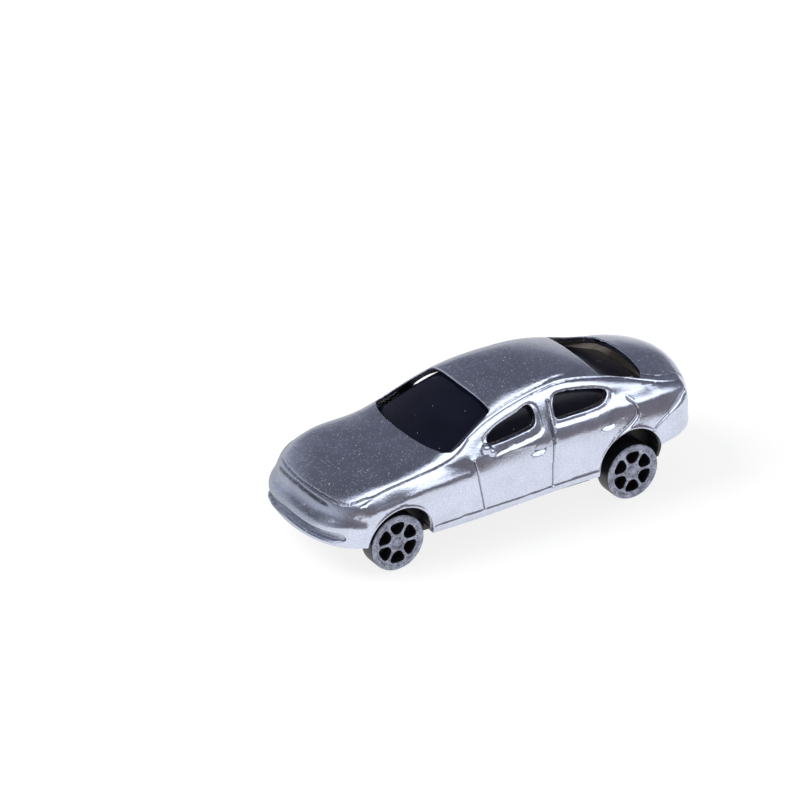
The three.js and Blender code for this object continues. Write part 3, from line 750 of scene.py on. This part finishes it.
class Tree:
    """Short ways to add and link the nodes of a material or a world."""

    def __init__(self, owner):
        owner.use_nodes = True
        self.nodes = owner.node_tree.nodes
        self.links = owner.node_tree.links

    def add(self, kind, inputs=None, output=0, **settings):
        """Add a node with its settings and inputs, and return one of its outputs."""
        node = self.nodes.new(kind)
        for name, value in settings.items():
            setattr(node, name, value)
        for name, value in (inputs or {}).items():
            self.plug(node.inputs[name], value)
        return node.outputs[output]

    def plug(self, socket, value):
        """Link a node's output to an input, or give the input a fixed value."""
        if isinstance(value, bpy.types.NodeSocket):
            self.links.new(value, socket)
        else:
            socket.default_value = value

    def math(self, operation, a, b):
        return self.add("ShaderNodeMath", {0: a, 1: b}, operation=operation)

    def along(self, vector, direction):
        """How far a vector reaches along a direction."""
        return self.add("ShaderNodeVectorMath", {0: vector, 1: direction}, output="Value",
                        operation="DOT_PRODUCT")

    def fade(self, value, low, high, start=0.0, end=1.0):
        """From start to end while the value goes from low to high, and level beyond them."""
        return self.add("ShaderNodeMapRange", {"Value": value, "From Min": low, "From Max": high,
                                               "To Min": start, "To Max": end})

    def ramp(self, factor, stops):
        """Colours against a factor. A stop is a place and either a grey level or an RGB colour."""
        colours = self.add("ShaderNodeValToRGB", {"Fac": factor})
        elements = colours.node.color_ramp.elements
        while len(elements) < len(stops):
            elements.new(0.5)
        for element, (place, colour) in zip(elements, stops):
            element.position = place
            element.color = (*colour, 1) if isinstance(colour, tuple) else (colour, colour, colour, 1)
        return colours

    def mix(self, factor, a, b):
        """Colour a at factor 0 and colour b at factor 1, by the node's colour sockets."""
        node = self.add("ShaderNodeMix", data_type="RGBA").node
        self.plug(node.inputs[0], factor)
        self.plug(node.inputs[6], a)
        self.plug(node.inputs[7], b)
        return node.outputs[2]


# The walls of the mirrored room: colours against the height of the direction looked in.
LEFT_WALL = [
    (0.0, (0.080, 0.070, 0.073)), (0.3, (0.066, 0.060, 0.066)), (0.5, (0.052, 0.052, 0.060)),
    (1.0, (0.040, 0.041, 0.050))]
RIGHT_WALL = [
    (0.0, 0.22), (0.1, 0.2), (0.2, (0.078, 0.078, 0.093)), (0.4, (0.048, 0.049, 0.061)),
    (1.0, (0.042, 0.043, 0.053))]
FRONT_WALL = [
    (0.0, (0.15, 0.157, 0.175)), (0.35, (0.14, 0.147, 0.165)), (0.65, (0.05, 0.051, 0.06)),
    (1.0, (0.038, 0.039, 0.048))]
LEFT_WALL_DIRECTION = (0.966, -0.259, 0)
FRONT_WALL_DIRECTION = (-0.55, -0.835, 0)

# The soft box's edges: a direction, and how far along it the light begins and is full.
SOFT_BOX_EDGES = [
    ((0.6, -0.35, 0), -0.28, -0.16),
    ((0, 0.15, 1), 0.585, 0.72),
    ((1, -0.1, 0), -0.06, 0.08)]
SOFT_BOX_COLOUR = (0.6, 0.62, 0.65, 1)
PLAIN_LIGHT = (0.15, 0.152, 0.158, 1)
BACKDROP = (0.36, 0.36, 0.36, 1)
WORLD_STRENGTH = 3.0


def mirrored_room(tree, look):
    """A dark room with a soft box high over the car's left side, by the direction looked in."""
    height = tree.add("ShaderNodeSeparateXYZ", {0: look}, output="Z")
    level = tree.add("ShaderNodeVectorMath", {0: look, 1: (1, 1, 0)}, operation="MULTIPLY")
    level = tree.add("ShaderNodeVectorMath", {0: level}, operation="NORMALIZE")
    on_left = tree.fade(tree.along(level, LEFT_WALL_DIRECTION), -0.4, 0.3)
    ahead = tree.fade(tree.along(level, FRONT_WALL_DIRECTION), 0.35, 0.8)
    room = tree.mix(on_left, tree.ramp(height, RIGHT_WALL), tree.ramp(height, LEFT_WALL))
    room = tree.mix(ahead, room, tree.ramp(height, FRONT_WALL))
    box = 1.0
    for direction, edge, full in SOFT_BOX_EDGES:
        box = tree.math("MULTIPLY", box, tree.fade(tree.along(look, direction), edge, full))
    return tree.mix(box, room, SOFT_BOX_COLOUR)


def add_world():
    """Glossy surfaces mirror the room, plain ones are lit evenly and the camera sees a white backdrop."""
    world = bpy.data.worlds.new("studio")
    tree = Tree(world)
    tree.nodes.clear()
    look = tree.add("ShaderNodeTexCoord", output="Generated")
    glossy_ray = tree.add("ShaderNodeLightPath", output="Is Glossy Ray")
    camera_ray = glossy_ray.node.outputs["Is Camera Ray"]
    colour = tree.mix(glossy_ray, tree.mix(camera_ray, PLAIN_LIGHT, BACKDROP), mirrored_room(tree, look))
    background = tree.add("ShaderNodeBackground", {"Color": colour, "Strength": WORLD_STRENGTH})
    output = tree.nodes.new("ShaderNodeOutputWorld")
    tree.links.new(background, output.inputs["Surface"])
    bpy.context.scene.world = world


FLOOR_RADIUS = 0.2
FLOOR_CENTRE = (-0.06, 0.04)
FLOOR_CORNERS = 128
FLOOR_GREY = (0.2, 0.2, 0.2, 1)
FLOOR_GLOW = 0.84
# In mirrored rays one side of the floor glows less. These are the way to its brighter side, where
# along it the glow starts to rise and is full, and the glow's two levels.
FLOOR_BRIGHT_DIRECTION = (0.8, 0.6, 0)
FLOOR_RISE = (-0.038, -0.014)
FLOOR_LEVELS = (0.38, 0.97)


def add_floor():
    """A round white table top. Mirrored rays see it dimmer before the nose and on the right side."""
    mesh = bpy.data.meshes.new("floor")
    angles = np.linspace(0, 2 * math.pi, FLOOR_CORNERS, endpoint=False)
    mesh.from_pydata([(FLOOR_RADIUS * math.cos(a) + FLOOR_CENTRE[0],
                       FLOOR_RADIUS * math.sin(a) + FLOOR_CENTRE[1], 0) for a in angles],
                     [], [tuple(range(len(angles)))])
    floor = bpy.data.objects.new("floor", mesh)
    bpy.context.scene.collection.objects.link(floor)
    material = bpy.data.materials.new("floor_white")
    tree = Tree(material)
    shader = tree.nodes["Principled BSDF"]
    tree.plug(shader.inputs["Base Color"], FLOOR_GREY)
    tree.plug(shader.inputs["Roughness"], 0.9)
    tree.plug(shader.inputs["Specular IOR Level"], 0.0)
    place = tree.add("ShaderNodeTexCoord", output="Object")
    mirrored_glow = tree.fade(tree.along(place, FLOOR_BRIGHT_DIRECTION), *FLOOR_RISE, *FLOOR_LEVELS)
    mirrored_ray = tree.add("ShaderNodeLightPath", output="Is Glossy Ray")
    glow = tree.mix(mirrored_ray, (1, 1, 1, 1), mirrored_glow)
    tree.plug(shader.inputs["Emission Color"], glow)
    tree.plug(shader.inputs["Emission Strength"], FLOOR_GLOW)
    mesh.materials.append(material)


# ------------------------------------------------------------------ materials


def new_material(name):
    """A material, its node tree and its main shader."""
    material = bpy.data.materials.new(name)
    tree = Tree(material)
    return material, tree, tree.nodes["Principled BSDF"]


def noise(tree, scale, detail=2.0, roughness=0.5):
    """A soft random pattern, with a number of cells per metre."""
    place = tree.add("ShaderNodeTexCoord", output="Object")
    return tree.add("ShaderNodeTexNoise", {"Vector": place, "Scale": scale, "Detail": detail,
                                           "Roughness": roughness}, output="Fac")


def specks(tree, scale, share, size, dimensions="2D"):
    """Small round spots: 1 inside a spot, 0 outside. A share of the cells of a grid has one.
    In two dimensions they are spread over the plan view, for faces that look up."""
    place = tree.add("ShaderNodeTexCoord", output="Object")
    cells = tree.add("ShaderNodeTexVoronoi", {"Vector": place, "Scale": scale}, output="Distance",
                     voronoi_dimensions=dimensions)
    lot = tree.add("ShaderNodeSeparateColor", {0: cells.node.outputs["Color"]}, output="Red")
    chosen = tree.math("LESS_THAN", lot, share)
    return tree.math("MULTIPLY", chosen, tree.fade(cells, size, size * 0.5))


def scratches(tree, scale, squash, turn, share, width):
    """Short thin lines: the cell borders of a pattern drawn out along Y, kept where a finer noise
    is high. The smaller the squash, the longer the lines. The turn gives another set of lines."""
    place = tree.add("ShaderNodeTexCoord", output="Object")
    bent = tree.add("ShaderNodeMapping", {"Vector": place, "Rotation": (0.2, 0.1, turn),
                                          "Scale": (1.0, squash, 1.0)})
    edge = tree.add("ShaderNodeTexVoronoi", {"Vector": bent, "Scale": scale}, feature="DISTANCE_TO_EDGE")
    patch = tree.fade(noise(tree, scale * 2.3), 1 - share, 1.02 - share)
    return tree.math("MULTIPLY", tree.fade(edge, width, 0.0), patch)


def bump(tree, height, depth, below=None):
    """A bump of a depth in millimetres, on top of another one if given."""
    inputs = {"Height": height, "Distance": depth * MM, "Strength": 1.0}
    if below is not None:
        inputs["Normal"] = below
    return tree.add("ShaderNodeBump", inputs)


def upward(tree, low, high):
    """1 on faces that look up, 0 on faces that don't."""
    normal = tree.add("ShaderNodeTexCoord", output="Normal")
    height = tree.add("ShaderNodeSeparateXYZ", {0: normal}, output="Z")
    return tree.fade(height, low, high)


# Colours that the materials mix in.
BARE_PLASTIC = (0.34, 0.30, 0.28, 1)
# Painted shade, mixed into the plating in its grooves and on the lower intake's back wall.
GROOVE_SHADOW = (0.10, 0.09, 0.09, 1)
PLATING_DUST = (0.9, 0.92, 1.0, 1)
GLOSS_DUST = (0.55, 0.58, 0.68, 1)
WHEEL_BLACK = (0.014, 0.014, 0.018, 1)


def plating_material():
    """Thin bright metal over plastic: mirror-like, with fine grain, pits, dust, a few scratches and
    painted shade in its grooves.
    """
    material, tree, shader = new_material("bright_plating")
    cloud = noise(tree, 260, 3.0)
    grain = noise(tree, 3600, 3.0, 0.65)
    colour = tree.ramp(cloud, [(0.3, (0.66, 0.70, 0.83)), (0.7, (0.75, 0.795, 0.95))])
    mottle = tree.ramp(grain, [(0.35, 0.84), (0.65, 1.0)])
    colour = tree.add("ShaderNodeVectorMath", {0: colour, 1: mottle}, operation="MULTIPLY")
    fine_dust = tree.math("MULTIPLY", specks(tree, 2700, share=0.26, size=0.36), 0.4)
    dust = tree.math("MAXIMUM", specks(tree, 1250, share=0.04, size=0.17), fine_dust)
    dust = tree.math("MULTIPLY", dust, upward(tree, 0.35, 0.8))
    lines = scratches(tree, 110, squash=0.25, turn=0.5, share=0.34, width=0.01)
    marks = tree.math("MULTIPLY", lines, 0.6)
    inner = tree.add("ShaderNodeAttribute", attribute_name="inner_face", output="Fac")
    groove = tree.add("ShaderNodeAttribute", attribute_name="groove", output="Fac")
    colour = tree.mix(inner, colour, BARE_PLASTIC)
    # Painted shade: the plating's colour is darkened in the grooves and on the lower intake's back wall.
    colour = tree.mix(tree.math("MULTIPLY", groove, 0.6), colour, GROOVE_SHADOW)
    worn = tree.math("MAXIMUM", tree.math("MULTIPLY", dust, 0.75), marks)
    colour = tree.mix(worn, colour, PLATING_DUST)
    tree.plug(shader.inputs["Base Color"], colour)
    dull = tree.math("MAXIMUM", tree.math("MULTIPLY", dust, 0.45), tree.math("MULTIPLY", marks, 0.6))
    tree.plug(shader.inputs["Metallic"], tree.math("SUBTRACT", 1.0, dull))
    rough = tree.math("ADD", tree.fade(cloud, 0.3, 0.7, 0.17, 0.24), tree.math("MULTIPLY", inner, 0.3))
    tree.plug(shader.inputs["Roughness"], rough)
    swell = bump(tree, noise(tree, 420), 0.03)
    fine = bump(tree, grain, 0.022, swell)
    pits = bump(tree, specks(tree, 900, share=0.12, size=0.2, dimensions="3D"), 0.02, fine)
    tree.plug(shader.inputs["Normal"], pits)
    return material


def dark_material():
    """Near-black glossy plastic with faint haze, specks of dust and hairline scratches."""
    material, tree, shader = new_material("dark_gloss")
    haze = noise(tree, 180, 3.0)
    colour = tree.ramp(haze, [(0.3, (0.003, 0.0035, 0.010)), (0.7, (0.006, 0.007, 0.018))])
    dust = specks(tree, 1100, share=0.08, size=0.12, dimensions="3D")
    marks = scratches(tree, 90, squash=0.2, turn=0.9, share=0.36, width=0.006)
    worn = tree.math("MULTIPLY", tree.math("MAXIMUM", dust, marks), 0.5)
    tree.plug(shader.inputs["Base Color"], tree.mix(worn, colour, GLOSS_DUST))
    tree.plug(shader.inputs["Roughness"], tree.fade(haze, 0.0, 1.0, 0.14, 0.3))
    tree.plug(shader.inputs["Specular IOR Level"], 0.28)
    tree.plug(shader.inputs["Normal"], bump(tree, noise(tree, 900), 0.01))
    return material


def black_material():
    """Plain black moulded plastic with a fine grain."""
    material, tree, shader = new_material("black_plastic")
    cloud = noise(tree, 500, 3.0)
    colour = tree.ramp(cloud, [(0.3, (0.010, 0.010, 0.013)), (0.7, (0.022, 0.022, 0.028))])
    tree.plug(shader.inputs["Base Color"], colour)
    tree.plug(shader.inputs["Roughness"], tree.fade(cloud, 0.0, 1.0, 0.32, 0.55))
    tree.plug(shader.inputs["Normal"], bump(tree, noise(tree, 4200, 3.0), 0.01))
    return material


def wheel_material():
    """Black plastic with silver stamped on the outer face, worn through in specks."""
    material, tree, shader = new_material("wheel_plastic")
    cloud = noise(tree, 900, 3.0)
    grain = noise(tree, 3600, 4.0, 0.7)
    stamped = tree.add("ShaderNodeAttribute", attribute_name="stamped", output="Fac")
    silver = tree.math("MULTIPLY", stamped, tree.fade(grain, 0.36, 0.46))
    colour = tree.ramp(cloud, [(0.3, (0.19, 0.20, 0.27)), (0.7, (0.48, 0.51, 0.63))])
    tree.plug(shader.inputs["Base Color"], tree.mix(silver, WHEEL_BLACK, colour))
    tree.plug(shader.inputs["Metallic"], tree.math("MULTIPLY", silver, 0.75))
    tree.plug(shader.inputs["Roughness"], tree.fade(grain, 0.0, 1.0, 0.3, 0.5))
    tree.plug(shader.inputs["Normal"], bump(tree, grain, 0.03))
    return material


def steel_material():
    """Plain steel for the axles and screws, a little uneven."""
    material, tree, shader = new_material("steel")
    cloud = noise(tree, 800, 3.0)
    colour = tree.ramp(cloud, [(0.3, (0.42, 0.42, 0.43)), (0.7, (0.6, 0.6, 0.62))])
    tree.plug(shader.inputs["Base Color"], colour)
    tree.plug(shader.inputs["Metallic"], 1.0)
    tree.plug(shader.inputs["Roughness"], tree.fade(cloud, 0.0, 1.0, 0.2, 0.45))
    tree.plug(shader.inputs["Normal"], bump(tree, noise(tree, 5000), 0.008))
    return material


# ------------------------------------------------------------------ pieces

MATERIALS = {
    "bright_plating": plating_material(),
    "dark_gloss": dark_material(),
    "black_plastic": black_material(),
    "wheel_plastic": wheel_material(),
    "steel": steel_material(),
}

# Grid steps in millimetres, and the boxes that hold the forms, as (low, high) corners.
SHELL_STEP = 0.1
INSERT_STEP = 0.15
WHEEL_STEP = 0.09
SHELL_BOX = ((0, -35.5, 4.2), (14.2, 35.5, 24.0))
INSERT_BOX = ((0, -18.2, 6.0), (12.0, 28.0, 23.0))
WHEEL_MARGIN = 0.3
# How dark the painted shade on the lower intake's back wall is, against that in a groove, and where the
# nose ends behind it.
INTAKE_SHADOW = 0.6
NOSE_END = -25


def place_piece(piece, node, body, slot):
    """Give a piece its material, hang it on the body it rides on and hide the CAD node it stands in for.
    """
    piece.data.materials.append(MATERIALS[slot])
    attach(piece, body)
    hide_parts(node)


def add_shell():
    """The plated shell, with masks for its bare inner face and for the painted shade in its grooves and
    lower intake.
    """
    def inner_face(points, normals):
        return ramp(-body_form(*points.T), 0.55, 0.85)

    def groove(points, normals):
        across, y, z = np.abs(points[:, 0]), points[:, 1], points[:, 2]
        # Painted shade on the lower intake's back wall, joined with that in the grooves.
        shadow = INTAKE_SHADOW * intake(across, z) * (y < NOSE_END)
        # Painted shade in the grooves: the deeper the groove, the darker.
        return np.maximum(ramp(groove_depth(across, y, z), 0.03, 0.13), shadow)

    shell = sculpt("plated_shell", shell_form, *SHELL_BOX, SHELL_STEP, adaptivity=0.05, symmetric=True,
                   masks={"inner_face": inner_face, "groove": groove})
    place_piece(shell, "body_shell", "car_body", "bright_plating")


def add_insert():
    """The dark dome seen through all the windows."""
    insert = sculpt("dark_insert", insert_form, *INSERT_BOX, INSERT_STEP, symmetric=True)
    place_piece(insert, "cabin_insert", "car_body", "dark_gloss")


def turn_and_move(mesh, angle, centre):
    """Turn a mesh about Z, then move it to a centre."""
    cos, sin = math.cos(angle), math.sin(angle)
    points = np.empty(len(mesh.vertices) * 3)
    mesh.vertices.foreach_get("co", points)
    x, y, z = points.reshape(-1, 3).T
    moved = np.stack([x * cos - y * sin + centre.x, x * sin + y * cos + centre.y, z + centre.z], axis=1)
    mesh.vertices.foreach_set("co", moved.ravel())


def add_wheels():
    """Four wheels from one form. Those on the right are turned, so that their faces look outwards."""
    def stamped(points, normals):
        return ramp(normals[:, 0], 0.3, 0.6) * ramp(points[:, 0], 0.9, 1.1)

    reach = WHEEL_RADIUS + WHEEL_MARGIN
    half = WHEEL_WIDTH / 2 + WHEEL_MARGIN
    for end in ("front", "rear"):
        for side, turn in (("left", 0.0), ("right", math.pi)):
            node = f"wheel_{end}_{side}"
            wheel = sculpt(f"spoked_{node}", wheel_form, (-half, -reach, -reach), (half, reach, reach),
                           WHEEL_STEP, masks={"stamped": stamped})
            turn_and_move(wheel.data, turn, node_centre(node) * MM)
            place_piece(wheel, node, f"{end}_wheelset", "wheel_plastic")


def finish_plain_nodes():
    """The chassis and the small pieces under the car keep their CAD shape and get a material."""
    plain = {"black_plastic": ["chassis", "front_axle_keeper", "rear_axle_keeper"],
             "steel": ["front_axle", "rear_axle", "chassis_screw_front", "chassis_screw_rear"]}
    for slot, nodes in plain.items():
        for node in nodes:
            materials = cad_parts[node].data.materials
            materials.clear()
            materials.append(MATERIALS[slot])


add_camera()
add_world()
add_floor()
add_key_light()
add_shell()
add_insert()
add_wheels()
finish_plain_nodes()
